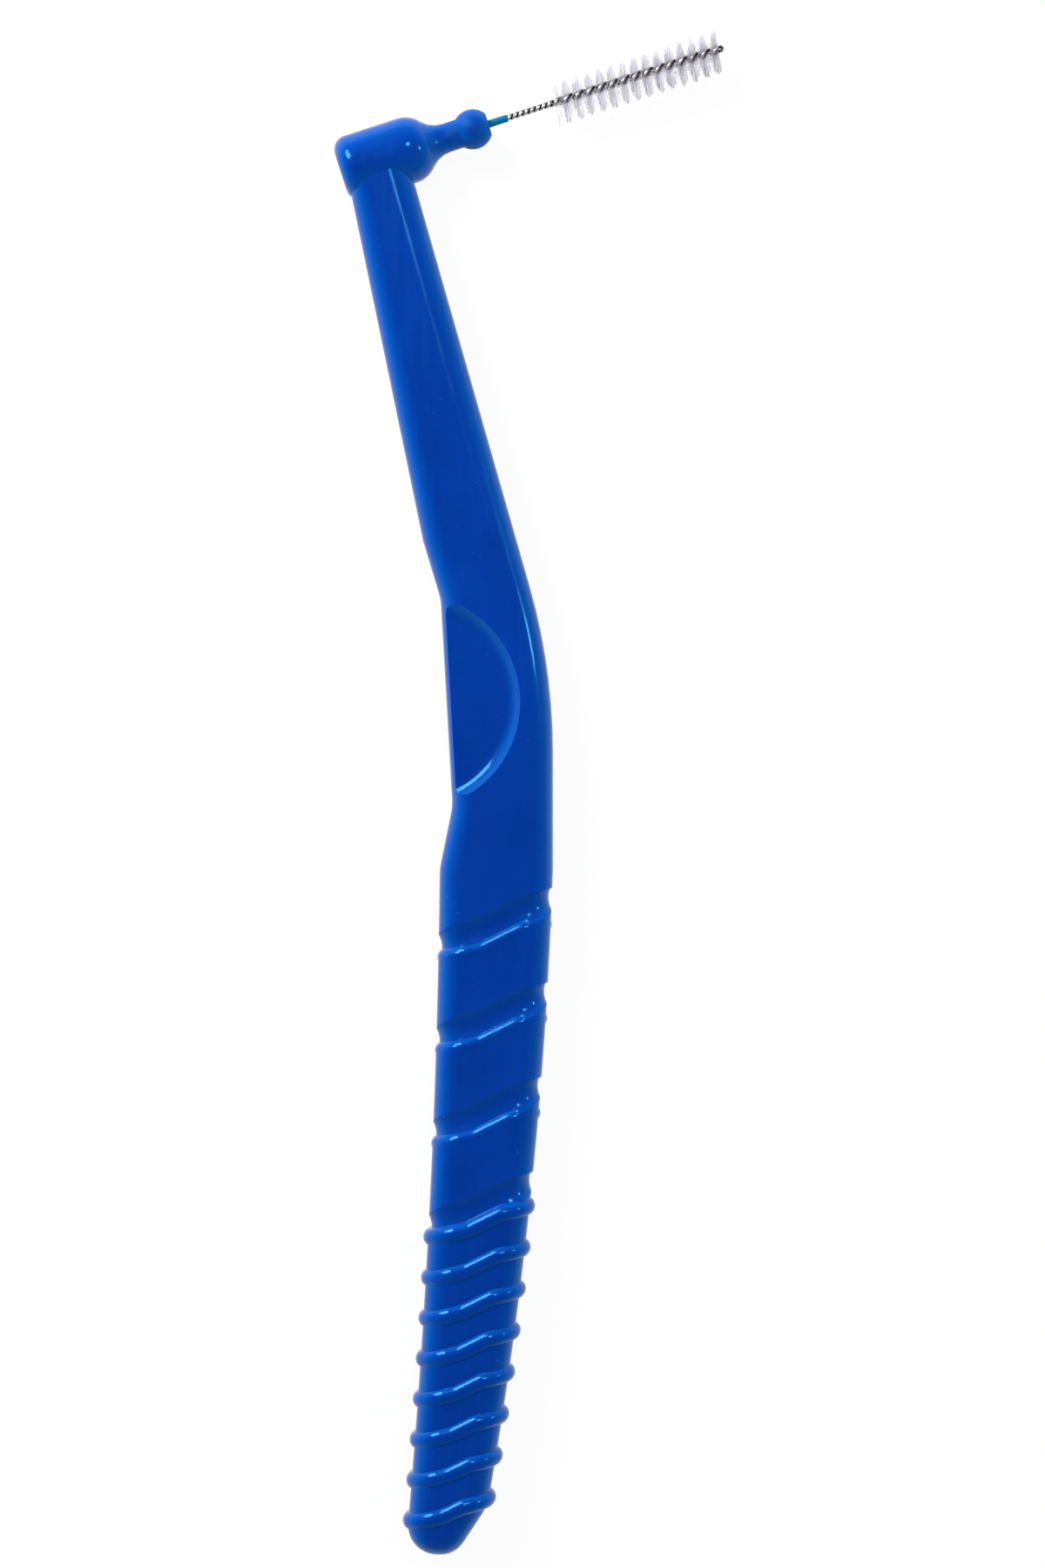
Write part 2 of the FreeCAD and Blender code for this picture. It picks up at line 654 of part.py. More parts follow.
def make_wire_core():
    """The strands among the filaments, joined by the fold at the tip."""
    twisted = make_twist("wire_core_twist", {
        "pitch": "core_pitch",
        "radius": "strand_diameter / 2 + filament_diameter + 2 * filament_gap",
        "length": f"core_pitch / 2 * {ROW_COUNT}",
        "radius_now": core_radius,
        "start": size("stem_free"),
        "start_turn": 0,
    })
    fold = doc.addObject("Part::Torus", "wire_fold")
    bind(fold, "Radius1", "strand_diameter / 2 + filament_diameter + 2 * filament_gap")
    bind(fold, "Radius2", "strand_diameter / 2")
    fold.Angle3 = HALF_TURN
    tip = FRONT * (size("stem_free") + core_length)
    fold.Placement = Placement(tip, Rotation(Vector(1, 0, 0), HALF_TURN / 2))
    wire = doc.addObject("Part::MultiFuse", "wire_core")
    wire.Shapes = [twisted, fold]
    return wire


def make_wire_sleeve():
    bore = "strand_diameter + strand_gap / 2 + mould_gap"
    outside = doc.addObject("Part::Cone", "sleeve_outside")
    bind(outside, "Radius1", f"{bore} + sleeve_wall")
    bind(outside, "Radius2", f"{bore} + sleeve_wall - sleeve_taper")
    bind(outside, "Height", "sleeve_free")
    root = make_cylinder("sleeve_root", f"{bore} + sleeve_wall", "root_depth", -size("root_depth"))
    solid = doc.addObject("Part::MultiFuse", "sleeve_solid")
    solid.Shapes = [outside, root]
    inside = make_cylinder("sleeve_inside", bore, "root_depth + sleeve_free + 2 * overrun",
                           -size("root_depth") - size("overrun"))
    return subtract("wire_sleeve", solid, inside)


def make_bristle_row(number):
    """The filaments of one half turn; each lies square to the strands, in one of two layers between them."""
    layer = size("filament_diameter") / 2 + size("filament_gap") / 2
    step = row_length / FILAMENTS_IN_ROW
    filaments = []
    for place in range(FILAMENTS_IN_ROW):
        along = row_length * number + step * (place + 1 / 2)
        turn = Rotation(FRONT, -FULL_TURN * along / size("core_pitch"))
        side = layer if place % 2 else -layer
        across = turn.multVec(Vector(0, 1, 0))
        middle = turn.multVec(Vector(side, 0, 0)) + FRONT * (size("stem_free") + along)
        start = middle - across * (size("filament_length") / 2)
        radius = size("filament_diameter") / 2
        filaments.append(Part.makeCylinder(radius, size("filament_length"), start, across))
    row = doc.addObject("Part::Feature", f"bristle_row_{number + 1:02d}")
    row.Shape = Part.makeCompound(filaments)
    return row


def make_handle():
    grooved = make_handle_blank()
    for groove in make_grooves():
        grooved = subtract(f"handle_with_{groove.Name}", grooved, groove)
    raised = doc.addObject("Part::MultiFuse", "ribbed_handle")
    raised.Shapes = [grooved, *make_ribs(), *make_lips()]
    bore = make_cylinder("sleeve_bore", "strand_diameter + strand_gap / 2 + 2 * mould_gap + sleeve_wall",
                         "root_depth + overrun", -size("root_depth"))
    bore.Placement = wire_place.multiply(bore.Placement)
    return subtract("handle", raised, bore)


# Whole brush

def faults():
    found = []
    for item in doc.Objects:
        if {"Invalid", "Error"} & set(item.State):
            found.append(f"{item.Name}: {item.State}")
        shape = getattr(item, "Shape", None)
        if shape is not None and (shape.isNull() or not shape.isValid()):
            found.append(f"{item.Name}: shape not valid")
    return found


def exact_box(shapes):
    box = FreeCAD.BoundBox()
    for shape in shapes:
        box.add(shape.optimalBoundingBox(False, False))
    return box


def main():
    handle = make_handle()
    on_wire = [make_wire_sleeve(), make_wire_stem(), make_wire_core()]
    on_wire += [make_bristle_row(number) for number in range(ROW_COUNT)]
    doc.recompute()
    for item in on_wire:
        item.Placement = wire_place
    doc.recompute()
    pieces = [handle, *on_wire]
    box = exact_box([item.Shape for item in pieces])
    shift = Placement(Vector(-box.Center.x, -box.Center.y, -box.ZMin), Rotation())
    for item in pieces:
        item.Placement = shift.multiply(item.Placement)
    doc.recompute()
    problems = faults()
    if problems:
        raise RuntimeError("; ".join(problems))
    os.makedirs("parts", exist_ok=True)
    for item in pieces:
        item.Shape.exportStep(f"parts/{item.Label}.step")
    print("size", exact_box([item.Shape for item in pieces]))
    whole = shift.multiply(wire_place)
    for name, z in (("collar front", 0), ("bend", size("stem_free") / 2), ("core start", size("stem_free"))):
        print(name, whole.multVec(Vector(0, 0, z)))
    print("shift", shift.Base)
    print("wire direction", whole.Rotation.multVec(FRONT))


main()
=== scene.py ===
"""Looks of an angled interdental brush: finishes, twisted wire, filaments, table, light and camera."""

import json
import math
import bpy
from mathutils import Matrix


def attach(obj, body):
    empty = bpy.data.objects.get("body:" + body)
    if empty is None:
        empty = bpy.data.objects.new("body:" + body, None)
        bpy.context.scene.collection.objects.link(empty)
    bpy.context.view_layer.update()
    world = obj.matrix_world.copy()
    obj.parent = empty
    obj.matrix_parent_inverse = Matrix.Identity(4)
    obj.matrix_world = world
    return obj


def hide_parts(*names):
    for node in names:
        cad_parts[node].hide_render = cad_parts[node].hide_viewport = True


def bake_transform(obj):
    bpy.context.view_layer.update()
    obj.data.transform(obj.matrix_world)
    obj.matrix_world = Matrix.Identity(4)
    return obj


bl_info = {
    "name": "Interdental brush looks",
    "version": (1, 0, 0),
    "blender": (4, 5, 0),
    "location": "3D View > Sidebar > Brush",
    "description": "Finishes the handle and makes the wire, sleeve, filaments and studio",
    "category": "Object",
}

import bpy
from bpy.props import FloatProperty, FloatVectorProperty, IntProperty, PointerProperty
from mathutils import Matrix, Vector

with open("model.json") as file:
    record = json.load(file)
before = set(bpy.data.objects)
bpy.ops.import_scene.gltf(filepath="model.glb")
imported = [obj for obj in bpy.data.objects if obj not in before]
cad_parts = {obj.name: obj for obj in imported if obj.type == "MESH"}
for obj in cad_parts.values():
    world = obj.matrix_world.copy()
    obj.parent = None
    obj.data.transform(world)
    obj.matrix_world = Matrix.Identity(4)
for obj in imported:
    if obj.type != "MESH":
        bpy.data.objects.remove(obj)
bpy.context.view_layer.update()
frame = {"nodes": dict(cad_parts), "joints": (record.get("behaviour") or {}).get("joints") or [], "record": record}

MM = 0.001
FULL_TURN = 2 * math.pi
COLLAR = next(mount for mount in frame["record"]["mounts"] if mount["name"] == "cap_collar")
BEND = next(joint for joint in frame["joints"] if joint["name"] == "wire_bend")
BRISTLE_ROWS = sorted(name for name in frame["nodes"] if name.startswith("bristle_row"))

# Wire frame: X along the wire from the collar, Y square to it in the flat of the handle, Z up
wire_start = Vector(COLLAR["pos_m"])
wire_ahead = Vector(COLLAR["axis"]).normalized()
wire_turn = math.atan2(wire_ahead.y, wire_ahead.x)
wire_frame = Matrix.Translation(wire_start) @ Matrix.Rotation(wire_turn, 4, "Z")
free_length = 2 * (Vector(BEND["pos_m"]) - wire_start).length
brush_start = wire_start + wire_ahead * free_length

# Fineness of the meshes
STRAND_POINTS = 901
STRAND_SIDES = 14
SLEEVE_SIDES = 40
SLEEVE_RINGS = 60
LIP_STEPS = 8
FILAMENT_SIDES = 5
FILAMENT_STEPS = 4

# Most of a noise lies between these two values
NOISE_LOW = 0.3
NOISE_HIGH = 0.7

# Steps from the seed to each series of random numbers
FAN_SERIES = 1
BED_SERIES = 2
TRIM_SERIES = 3


# Settings

def length_setting(name, description, default):
    return FloatProperty(name=name, description=description, default=default, unit="LENGTH", precision=5)


def factor_setting(name, description, default):
    return FloatProperty(name=name, description=description, default=default, min=0, subtype="FACTOR")


def angle_setting(name, description, default):
    return FloatProperty(name=name, description=description, default=math.radians(default), subtype="ANGLE")


def colour_setting(name, description, default):
    return FloatVectorProperty(
        name=name, description=description, default=default, min=0, max=1, subtype="COLOR")


class HandleSettings(bpy.types.PropertyGroup):
    deep_colour: colour_setting("Deep colour", "Blue where it is darkest", (0.0, 0.025, 0.252))
    light_colour: colour_setting("Light colour", "Blue where it is lightest", (0.0, 0.0355, 0.315))
    # Painted light: lighter blue on the rims where they turn away from the flats, standing in for light that
    # passes through the plastic
    rim_light_colour: colour_setting("Rim colour", "Blue where the rims let light through", (0.0, 0.078, 0.405))
    ripple: length_setting("Ripple", "Width of the waves left by the mould", 7.0 * MM)
    peel: length_setting("Peel", "Width of the fine dimples in the gloss", 0.55 * MM)
    depth: length_setting("Depth", "How far light spreads inside the plastic", 1.2 * MM)
    smooth: factor_setting("Smooth", "Roughness of the smoothest gloss", 0.1)
    rough: factor_setting("Rough", "Roughness of the dullest gloss", 0.2)
    satin: factor_setting("Satin", "How much rougher the collar is than the rest", 0.35)
    satin_reach: length_setting("Satin reach", "Satin finish from the front of the collar", 3.5 * MM)
    satin_fade: length_setting("Satin fade", "Length over which satin turns to gloss", 2.0 * MM)


class WireSettings(bpy.types.PropertyGroup):
    strand: length_setting("Strand", "Thickness of each of the two strands", 0.31 * MM)
    root: length_setting("Root", "Length of wire inside the head", 3.0 * MM)
    core: length_setting("Core", "Length of wire among the filaments", 15.3 * MM)
    stem_pitch: length_setting("Stem pitch", "One turn of the bare twist", 1.06 * MM)
    core_pitch: length_setting("Core pitch", "One turn of the twist among the filaments", 2.13 * MM)
    stem_offset: length_setting("Stem offset", "Axis to strand in the bare twist", 0.147 * MM)
    core_offset: length_setting("Core offset", "Axis to strand among the filaments", 0.28 * MM)
    tip_offset: length_setting("Tip offset", "Axis to strand at the fold", 0.19 * MM)
    ease: length_setting("Ease", "Length over which the twist opens or closes", 1.6 * MM)
    mark: length_setting("Mark", "Width of a drawing mark", 0.12 * MM)
    spot: length_setting("Spot", "Width of a worn spot", 0.5 * MM)
    colour: colour_setting("Colour", "Bright drawn steel", (0.66, 0.65, 0.65))
    stain: colour_setting("Stain", "Drawing marks on the steel", (0.2, 0.19, 0.19))
    # Painted shade: the steel is darkened where the strands meet, where shade falls
    cleft_shade: colour_setting("Cleft", "Steel where the strands meet", (0.035, 0.032, 0.032))


class SleeveSettings(bpy.types.PropertyGroup):
    reach: length_setting("Reach", "Sleeve outside the collar", 1.75 * MM)
    root: length_setting("Root", "Sleeve inside the head", 3.0 * MM)
    bore: length_setting("Bore", "Inside radius of the sleeve", 0.295 * MM)
    wall: length_setting("Wall", "Thickness of the sleeve", 0.045 * MM)
    taper: length_setting("Taper", "How much slimmer the free end is", 0.02 * MM)
    relief: length_setting("Relief", "How far the twist shows through", 0.008 * MM)
    deep_colour: colour_setting("Deep colour", "Darker teal of the sleeve", (0.0, 0.110, 0.245))
    light_colour: colour_setting("Light colour", "Teal of the sleeve", (0.001, 0.150, 0.30))
    # Colour of the painted rim light on the sleeve's sides; it is the same as its light colour
    rim_light_colour: colour_setting("Rim colour", "Teal of its sides", (0.001, 0.150, 0.30))
    ripple: length_setting("Ripple", "Width of its lighter and darker patches", 0.8 * MM)
    peel: length_setting("Peel", "Width of the fine dimples in the gloss", 0.12 * MM)
    depth: length_setting("Depth", "How far light spreads inside the plastic", 0.02 * MM)
    smooth: factor_setting("Smooth", "Roughness of the smoothest gloss", 0.5)
    rough: factor_setting("Rough", "Roughness of the dullest gloss", 0.65)


class BristleSettings(bpy.types.PropertyGroup):
    count: IntProperty(name="Count", description="Filaments that pass through the wire", default=640, min=1)
    seed: IntProperty(name="Seed", description="Start of the random numbers", default=7)
    thickness: length_setting("Thickness", "One nylon filament", 0.055 * MM)
    reach: length_setting("Reach", "Wire to the tips", 1.86 * MM)
    short_share: factor_setting("Short share", "Shortest filament, as a share of the reach", 0.93)
    long_share: factor_setting("Long share", "Longest filament, as a share of the reach", 1.02)
    low_shift: length_setting("Low shift", "How far the trim is off the wire's middle", 0.22 * MM)
    bed: length_setting("Bed", "Half the thickness of the filaments between the strands", 0.1 * MM)
    bare_tip: length_setting("Bare tip", "Wire past the last filament", 0.2 * MM)
    lean: angle_setting("Lean", "Slant of the filaments along the wire", 9)
    fan: angle_setting("Fan", "Spread of the filaments around the wire", 20)
    wander: length_setting("Wander", "How far the tips stray", 0.42 * MM)
    clump: length_setting("Clump", "Width of a clump of tips that stray together", MM / 2.6)
    bunch_share: factor_setting("Bunch share", "How much denser the filaments stand at the tip", 0.3)
    colour: colour_setting("Colour", "Milky nylon", (0.90, 0.885, 0.945))
    shade: colour_setting("Shade", "Greyer nylon", (0.66, 0.64, 0.73))
    # Painted shade: the filaments packed between the strands are darkened, where shade falls
    bed_shade_colour: colour_setting("Bed colour", "Packed filaments between the strands", (0.22, 0.21, 0.215))
    cloud: length_setting("Cloud", "Width of the greyer patches", 0.9 * MM)
    solid_share: factor_setting("Solid share", "How solid a free filament looks", 0.42)
    bed_solid_share: factor_setting("Bed solid share", "How solid the packed filaments look", 0.95)


class StageSettings(bpy.types.PropertyGroup):
    floor: colour_setting("Floor", "White table", (0.92, 0.92, 0.92))
    floor_size: length_setting("Floor size", "Side of the table", 20.0)
    glow_share: factor_setting("Glow share", "Part of the floor that stays white in the shadow", 0.93)
    room: factor_setting("Room light", "Strength of the light from all around", 0.4)
    lamp_distance: length_setting("Lamp distance", "Lamps from the middle of the brush", 0.5)
    lens: FloatProperty(name="Lens", description="Focal length in millimetres", default=100)
    sensor: FloatProperty(name="Sensor", description="Height of the film in millimetres", default=36)
    view_height: length_setting("View height", "Height of the picture at the brush", 138.46 * MM)
    view_x: length_setting("View X", "Middle of the picture, across", -0.594 * MM)
    view_y: length_setting("View Y", "Middle of the picture, along", 0.62 * MM)


class BrushSettings(bpy.types.PropertyGroup):
    handle: PointerProperty(type=HandleSettings)
    wire: PointerProperty(type=WireSettings)
    sleeve: PointerProperty(type=SleeveSettings)
    bristles: PointerProperty(type=BristleSettings)
    stage: PointerProperty(type=StageSettings)


# Node helpers

def place(tree, kind, inputs=None, **attributes):
    """Adds a node; inputs maps a socket's name or number to another socket or a plain value."""
    node = tree.nodes.new(kind)
    for name, value in attributes.items():
        setattr(node, name, value)
    for name, value in (inputs or {}).items():
        if isinstance(value, bpy.types.NodeSocket):
            tree.links.new(value, node.inputs[name])
        else:
            node.inputs[name].default_value = value
    return node


def set_inputs(node, values):
    for name, value in values.items():
        node.inputs[name].default_value = value


def calculate(tree, operation, *values):
    return place(tree, "ShaderNodeMath", dict(enumerate(values)), operation=operation).outputs[0]


def product(tree, first, *others):
    for other in others:
        first = calculate(tree, "MULTIPLY", first, other)
    return first


def total(tree, first, *others):
    for other in others:
        first = calculate(tree, "ADD", first, other)
    return first


def calculate_vector(tree, operation, *vectors):
    node = place(tree, "ShaderNodeVectorMath", dict(enumerate(vectors)), operation=operation)
    gives_number = operation in ("LENGTH", "DISTANCE", "DOT_PRODUCT")
    return node.outputs["Value" if gives_number else "Vector"]


def vector_of(tree, x, y, z):
    return place(tree, "ShaderNodeCombineXYZ", {"X": x, "Y": y, "Z": z}).outputs[0]


def spread(tree, value, low, high, new_low, new_high, kind="LINEAR"):
    """Maps the range from low to high onto the new one, and holds its ends."""
    ends = {"Value": value, "From Min": low, "From Max": high, "To Min": new_low, "To Max": new_high}
    return place(tree, "ShaderNodeMapRange", ends, interpolation_type=kind).outputs[0]


def object_place(tree):
    return tree.nodes.new("ShaderNodeTexCoord").outputs["Object"]


def noise(tree, vector, size, detail=2, stretch=(1, 1, 1)):
    """Noise with features of that size; a stretch below 1 lengthens them along its axis."""
    plain = not isinstance(size, bpy.types.NodeSocket)
    scale = 1 / size if plain else calculate(tree, "DIVIDE", 1, size)
    scaled = calculate_vector(tree, "MULTIPLY", vector, stretch)
    return place(tree, "ShaderNodeTexNoise", {"Vector": scaled, "Scale": scale, "Detail": detail})


def noise_spread(tree, value, low=0, high=1):
    return spread(tree, value, NOISE_LOW, NOISE_HIGH, low, high)


def blend_colours(tree, share, first, second):
    """The first colour where the share is 0 and the second where it is 1."""
    mix = place(tree, "ShaderNodeMix", {0: share, 6: first, 7: second}, data_type="RGBA")
    return mix.outputs[2]


def opaque(colour):
    return (*colour, 1)


def new_group(name, kind, inputs, outputs):
    """An empty node group with named sockets; returns the tree and its two end nodes."""
    tree = bpy.data.node_groups.new(name, kind)
    for direction, sockets in (("INPUT", inputs), ("OUTPUT", outputs)):
        for socket_name, socket_kind in sockets:
            tree.interface.new_socket(socket_name, in_out=direction, socket_type=socket_kind)
    return tree, tree.nodes.new("NodeGroupInput"), tree.nodes.new("NodeGroupOutput")


def new_material(name):
    """A material with a plain shader; returns the material, its tree and the shader."""
    material = bpy.data.materials.new(name)
    material.use_nodes = True
    tree = material.node_tree
    return material, tree, tree.nodes["Principled BSDF"]


def feed(tree, node, values):
    for name, value in values.items():
        tree.links.new(value, node.inputs[name])


def bump(tree, height, strength, distance):
    return place(tree, "ShaderNodeBump", {
        "Strength": strength, "Distance": distance, "Height": height,
    }).outputs[0]


# Finishes

def moulded_skin():
    """Skin of a glossy moulding: slow waves of tone, fine dimples, flow lines and grains of dust."""
    name = "moulded skin"
    if name in bpy.data.node_groups:
        return bpy.data.node_groups[name]
    number = "NodeSocketFloat"
    group, start, end = new_group(
        name, "ShaderNodeTree",
        [("Ripple", number), ("Peel", number)],
        [("Tone", number), ("Gloss", number), ("Dust", number), ("Height", number)],
    )
    where = object_place(group)
    ripple, peel = start.outputs["Ripple"], start.outputs["Peel"]
    flow_stretch = (1, 0.06, 1)
    wave_share, flow_share = 0.8, 0.2
    wave_height, dimple_height = 2.5, 0.12
    grain_size_share, grain_low, grain_high = 0.35, 0.86, 0.9
    waves = noise(group, where, ripple, detail=3).outputs[0]
    flow = noise(group, where, peel, stretch=flow_stretch).outputs[0]
    dimples = noise(group, where, peel).outputs[0]
    grains = noise(group, where, product(group, peel, grain_size_share), detail=0).outputs[0]
    tone = total(group, product(group, waves, wave_share), product(group, flow, flow_share))
    height = total(group, product(group, waves, wave_height), product(group, dimples, dimple_height))
    feed(group, end, {
        "Tone": noise_spread(group, tone),
        "Gloss": noise_spread(group, flow),
        "Dust": spread(group, grains, grain_low, grain_high, 0, 1),
        "Height": height,
    })
    return group


def satin_collar(tree, roughness, settings):
    """Adds the duller finish of the ball collar."""
    from_front = calculate_vector(tree, "DISTANCE", object_place(tree), wire_start)
    fade_end = settings.satin_reach + settings.satin_fade
    satin = spread(tree, from_front, settings.satin_reach, fade_end, settings.satin, 0)
    return total(tree, roughness, satin)


def plastic_finish(name, settings, with_collar=False):
    """Gloss plastic with painted rim light: lighter where its surface turns away from the flats."""
    full_rim_upright = 0.75
    dust_colour, dust_share = (0.5, 0.6, 0.75, 1), 0.15
    material, tree, shader = new_material(name)
    skin = place(tree, "ShaderNodeGroup", {
        "Ripple": settings.ripple, "Peel": settings.peel,
    }, node_tree=moulded_skin()).outputs
    body = blend_colours(tree, skin["Tone"], opaque(settings.deep_colour), opaque(settings.light_colour))
    normal = tree.nodes.new("ShaderNodeNewGeometry").outputs["Normal"]
    upright = calculate(tree, "ABSOLUTE", place(tree, "ShaderNodeSeparateXYZ", {0: normal}).outputs["Z"])
    # Painted rim light: the colour turns lighter as the surface turns away from upright
    rim_light_share = spread(tree, upright, 1, full_rim_upright, 0, 1)
    colour = blend_colours(tree, rim_light_share, body, opaque(settings.rim_light_colour))
    dusty_share = product(tree, skin["Dust"], dust_share)
    roughness = spread(tree, skin["Gloss"], 0, 1, settings.smooth, settings.rough)
    if with_collar:
        roughness = satin_collar(tree, roughness, settings)
    feed(tree, shader, {
        "Base Color": blend_colours(tree, dusty_share, colour, dust_colour),
        "Roughness": roughness,
        "Normal": bump(tree, skin["Height"], strength=0.25, distance=0.02 * MM),
    })
    set_inputs(shader, {
        "Subsurface Weight": 0.6,
        "Subsurface Radius": (0.1, 0.6, 1),
        "Subsurface Scale": settings.depth,
        "IOR": 1.49,
        "Specular IOR Level": 0.4,
        "Specular Tint": (0.13, 0.66, 1, 1),
    })
    return material


def drawn_wire_finish(settings):
    """Bright steel with drawing marks along the strand, and painted shade where the strands lie against each
    other.
    """
    material, tree, shader = new_material("drawn_steel")
    mark_stretch = (0.04, 1, 1)
    mark_low, mark_high = 0.4, 0.75
    least_wear_share = 0.2
    cleft_facing, open_facing = 0.1, 0.75
    least_mark, most_mark = 0.2, 0.8
    smooth, rough = 0.2, 0.42
    along = place(tree, "ShaderNodeUVMap", uv_map="strand").outputs[0]
    marks = noise(tree, along, settings.mark, detail=3, stretch=mark_stretch).outputs[0]
    spots = noise(tree, along, settings.spot).outputs[0]
    marked_share = spread(tree, marks, mark_low, mark_high, 0, 1)
    wear_share = product(tree, marked_share, noise_spread(tree, spots, least_wear_share, 1))
    bright = blend_colours(tree, wear_share, opaque(settings.colour), opaque(settings.stain))
    # Painted shade: the side of each strand that faces the other strand is darkened towards the cleft colour
    outwards = place(tree, "ShaderNodeAttribute", attribute_name="outwards").outputs["Fac"]
    unshaded_share = spread(tree, outwards, cleft_facing, open_facing, 0, 1)
    feed(tree, shader, {
        "Base Color": blend_colours(tree, unshaded_share, opaque(settings.cleft_shade), bright),
        "Roughness": spread(tree, marks, least_mark, most_mark, smooth, rough),
        "Normal": bump(tree, marks, strength=0.3, distance=0.01 * MM),
    })
    set_inputs(shader, {"Metallic": 1})
    return material


def nylon_finish(settings):
    """Milky filament that differs a little from one to the next; more solid where packed between the strands, and
    darkened there with painted shade.
    """
    material, tree, shader = new_material("milky_nylon")
    bed_edge, free_edge = 2 * settings.bed, 4.5 * settings.bed
    smooth, rough = 0.28, 0.45
    where = object_place(tree)
    clouds = noise(tree, where, settings.cloud).outputs[0]
    milky = blend_colours(tree, noise_spread(tree, clouds), opaque(settings.colour), opaque(settings.shade))
    from_front = calculate_vector(tree, "SUBTRACT", where, wire_start)
    off_wire = calculate_vector(tree, "CROSS_PRODUCT", from_front, wire_ahead)
    distance = calculate_vector(tree, "LENGTH", off_wire)
    # Near the wire the filaments are more solid and are darkened with painted shade
    packed_and_shaded_share = spread(tree, distance, bed_edge, free_edge, 1, 0)
    feed(tree, shader, {
        "Base Color": blend_colours(tree, packed_and_shaded_share, milky, opaque(settings.bed_shade_colour)),
        "Roughness": noise_spread(tree, clouds, smooth, rough),
        "Alpha": spread(tree, packed_and_shaded_share, 0, 1, settings.solid_share, settings.bed_solid_share),
    })
    set_inputs(shader, {"IOR": 1.53})
    return material


# Mesh helpers

def new_piece(name, mesh, material):
    piece = bpy.data.objects.new(name, mesh)
    bpy.context.scene.collection.objects.link(piece)
    mesh.materials.clear()
    mesh.materials.append(material)
    return piece


def tube_faces(rings, sides):
    """Quads between neighbouring rings of points."""
    faces = []
    for ring in range(rings - 1):
        for side in range(sides):
            a, b = ring * sides + side, ring * sides + (side + 1) % sides
            faces.append((a, b, b + sides, a + sides))
    return faces


def smooth_step(share):
    share = min(max(share, 0), 1)
    return share * share * (3 - 2 * share)


def bend_with_wire(piece):
    """Bakes the piece's place into its mesh."""
    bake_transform(piece)


def size_tree(name, counts, sizes):
    """A tree for a shape along the X axis; its counts, sizes, place, turn and material are inputs."""
    inputs = [(count, "NodeSocketInt") for count in counts]
    inputs += [(size, "NodeSocketFloat") for size in sizes + ["Turn"]]
    inputs += [("Place", "NodeSocketVector"), ("Material", "NodeSocketMaterial")]
    return new_group(name, "GeometryNodeTree", inputs, [("Geometry", "NodeSocketGeometry")])


def end_tree(tree, start, end, geometry):
    """Smooths the shape, puts it in its place and gives it its material."""
    size = start.outputs
    smooth = place(tree, "GeometryNodeSetShadeSmooth", {0: geometry}).outputs[0]
    placed = place(tree, "GeometryNodeTransform", {
        "Geometry": smooth, "Translation": size["Place"], "Rotation": vector_of(tree, 0, 0, size["Turn"]),
    }).outputs[0]
    solid = place(tree, "GeometryNodeRealizeInstances", {0: placed}).outputs[0]
    finished = place(tree, "GeometryNodeSetMaterial", {"Geometry": solid, "Material": size["Material"]})
    tree.links.new(finished.outputs[0], end.inputs[0])


def grown_mesh(name, tree, values):
    """The plain mesh that a tree makes from these input values."""
    holder = bpy.data.objects.new(f"{name}_holder", bpy.data.meshes.new(f"{name}_holder"))
    bpy.context.scene.collection.objects.link(holder)
    modifier = holder.modifiers.new(name, "NODES")
    modifier.node_group = tree
    for item in tree.interface.items_tree:
        if item.in_out == "INPUT" and item.name in values:
            modifier[item.identifier] = values[item.name]
    evaluated = holder.evaluated_get(bpy.context.evaluated_depsgraph_get())
    mesh = bpy.data.meshes.new_from_object(evaluated)
    mesh.name = name
    bpy.data.objects.remove(holder)
    return mesh


# Wire

def keep_value(tree, geometry, kind, value):
    """Keeps a value of each point while the shape changes; returns the shape and the kept value."""
    keeper = tree.nodes.new("GeometryNodeCaptureAttribute")
    keeper.capture_items.new(kind, "kept")
    tree.links.new(geometry, keeper.inputs[0])
    tree.links.new(value, keeper.inputs[1])
    return keeper.outputs[0], keeper.outputs[1]


def twist_turn(tree, size, past_stem, opened):
    """The turn of the twist from the stem's end on; it eases from the stem's pitch to the core's."""
    # The rate of turn eases along a smooth step, whose sum up to a share s of it is s^3 - s^4 / 2
    sum_at_stem_end = (1 / 2) ** 3 - (1 / 2) ** 4 / 2
    stem_rate = calculate(tree, "DIVIDE", 1, size["Stem Pitch"])
    core_rate = calculate(tree, "DIVIDE", 1, size["Core Pitch"])
    cube = calculate(tree, "POWER", opened, 3)
    fourth = calculate(tree, "POWER", opened, 4)
    step_sum = total(tree, cube, product(tree, fourth, -1 / 2), -sum_at_stem_end)
    eased = product(tree, step_sum, size["Ease"])
    beyond = calculate(tree, "SUBTRACT", past_stem, product(tree, size["Ease"], 1 / 2))
    in_core = total(tree, eased, calculate(tree, "MAXIMUM", beyond, 0))
    change = product(tree, calculate(tree, "SUBTRACT", core_rate, stem_rate), in_core)
    return product(tree, total(tree, product(tree, past_stem, stem_rate), change), FULL_TURN)


